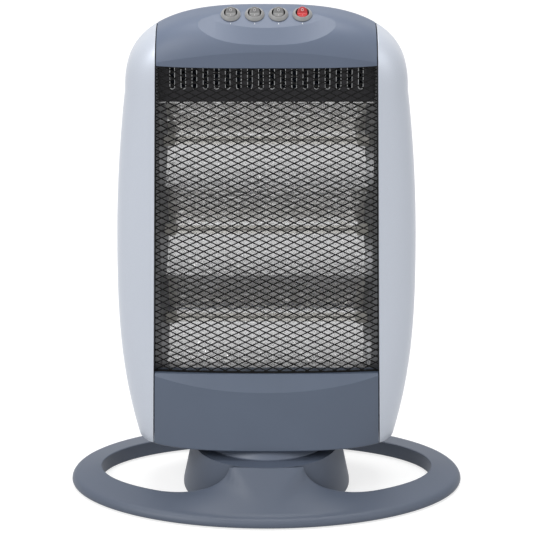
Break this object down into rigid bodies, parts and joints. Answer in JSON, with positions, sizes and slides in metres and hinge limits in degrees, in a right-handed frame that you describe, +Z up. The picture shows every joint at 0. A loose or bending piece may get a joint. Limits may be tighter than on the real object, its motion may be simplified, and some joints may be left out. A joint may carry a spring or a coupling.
{
  "type": "halogen heater",
  "caption": "Upright radiant heater with quartz lamps behind a diamond wire grille, rocker switches on top, and a body that swings on an oval ring stand.",
  "frame": {"origin": "centre of the oval stand, at the surface that its feet rest on", "axes": "+Z up along the swing axis, -Y towards the front (grille side), +X to the right as seen from the front"},
  "size_m": [0.473, 0.295, 0.6017],
  "materials": {
    "stand_plastic": "fine satin moulding, blue-grey",
    "cover_plastic": "satin moulding, blue-grey",
    "lower_plastic": "satin moulding, dark blue-grey",
    "silver_plastic": "silver metallic paint on moulded plastic",
    "rear_plastic": "satin moulding, dark blue-grey",
    "black_wire": "black enamelled steel wire",
    "dark_steel": "dark heat-proof coating",
    "bright_aluminium": "mirror-rolled",
    "quartz": "clear quartz tube",
    "tungsten": "drawn tungsten",
    "ceramic": "unglazed steatite ceramic",
    "grey_plastic": "satin",
    "red_plastic": "satin",
    "black_plastic": "satin",
    "rubber": "matt",
    "zinc_steel": "zinc plated"
  },
  "bodies": {
    "stand": {"stand_shell": "stand_plastic", "stand_base_plate": "black_plastic", "foot_front_left": "rubber", "foot_front_right": "rubber", "foot_rear_left": "rubber", "foot_rear_right": "rubber", "tip_microswitch": "black_plastic", "swing_motor": "zinc_steel"},
    "heater": {"turntable": "stand_plastic", "turntable_washer": "zinc_steel", "top_cover": "cover_plastic", "bottom_cover": "lower_plastic", "side_panel_left": "silver_plastic", "side_panel_right": "silver_plastic", "rear_cover": "rear_plastic", "reflector": "bright_aluminium", "reflector_side_left": "bright_aluminium", "reflector_side_right": "bright_aluminium", "vent_plate": "dark_steel", "thermal_cutout": "zinc_steel", "grille": "black_wire", "terminal_block": "ceramic", "cable_gland": "black_plastic", "rear_screw_lower_left": "zinc_steel", "rear_screw_lower_right": "zinc_steel", "rear_screw_upper_left": "zinc_steel", "rear_screw_upper_right": "zinc_steel", "lamp_1_tube": "quartz", "lamp_1_filament": "tungsten", "lamp_1_cap_left": "ceramic", "lamp_1_cap_right": "ceramic", "lamp_2_tube": "quartz", "lamp_2_filament": "tungsten", "lamp_2_cap_left": "ceramic", "lamp_2_cap_right": "ceramic", "lamp_3_tube": "quartz", "lamp_3_filament": "tungsten", "lamp_3_cap_left": "ceramic", "lamp_3_cap_right": "ceramic", "switch_housing_1": "grey_plastic", "switch_housing_2": "grey_plastic", "switch_housing_3": "grey_plastic", "switch_housing_4": "grey_plastic"},
    "crank": {"swing_crank": "zinc_steel"},
    "tip_plunger": {"tip_plunger": "black_plastic"},
    "rocker_1": {"switch_rocker_1": "grey_plastic"},
    "rocker_2": {"switch_rocker_2": "grey_plastic"},
    "rocker_3": {"switch_rocker_3": "grey_plastic"},
    "rocker_4": {"switch_rocker_4": "red_plastic"}
  },
  "joints": [
    {"name": "heater_swing", "type": "hinge", "parent": "stand", "child": "heater", "pos_m": [0, 0, 0.059], "axis": [0, 0, 1], "range_deg": [-30, 30]},
    {"name": "crank_turn", "type": "hinge", "parent": "stand", "child": "crank", "pos_m": [0, 0.044, 0.05], "axis": [0, 0, 1], "range_deg": [-90, 90]},
    {"name": "tip_plunger_drop", "type": "slide", "parent": "stand", "child": "tip_plunger", "axis": [0, 0, 1], "range_m": [-0.004, 0]},
    {"name": "rocker_1_tilt", "type": "hinge", "parent": "heater", "child": "rocker_1", "pos_m": [-0.04095, -0.02801, 0.59428], "axis": [1, 0, 0], "range_deg": [-22, 0]},
    {"name": "rocker_2_tilt", "type": "hinge", "parent": "heater", "child": "rocker_2", "pos_m": [-0.01365, -0.02801, 0.59428], "axis": [1, 0, 0], "range_deg": [-22, 0]},
    {"name": "rocker_3_tilt", "type": "hinge", "parent": "heater", "child": "rocker_3", "pos_m": [0.01365, -0.02801, 0.59428], "axis": [1, 0, 0], "range_deg": [-22, 0]},
    {"name": "rocker_4_tilt", "type": "hinge", "parent": "heater", "child": "rocker_4", "pos_m": [0.04095, -0.02801, 0.59428], "axis": [1, 0, 0], "range_deg": [-22, 0]}
  ],
  "couplings": [
    {"joint": "crank_turn", "follows": "heater_swing", "ratio": 3}
  ]
}
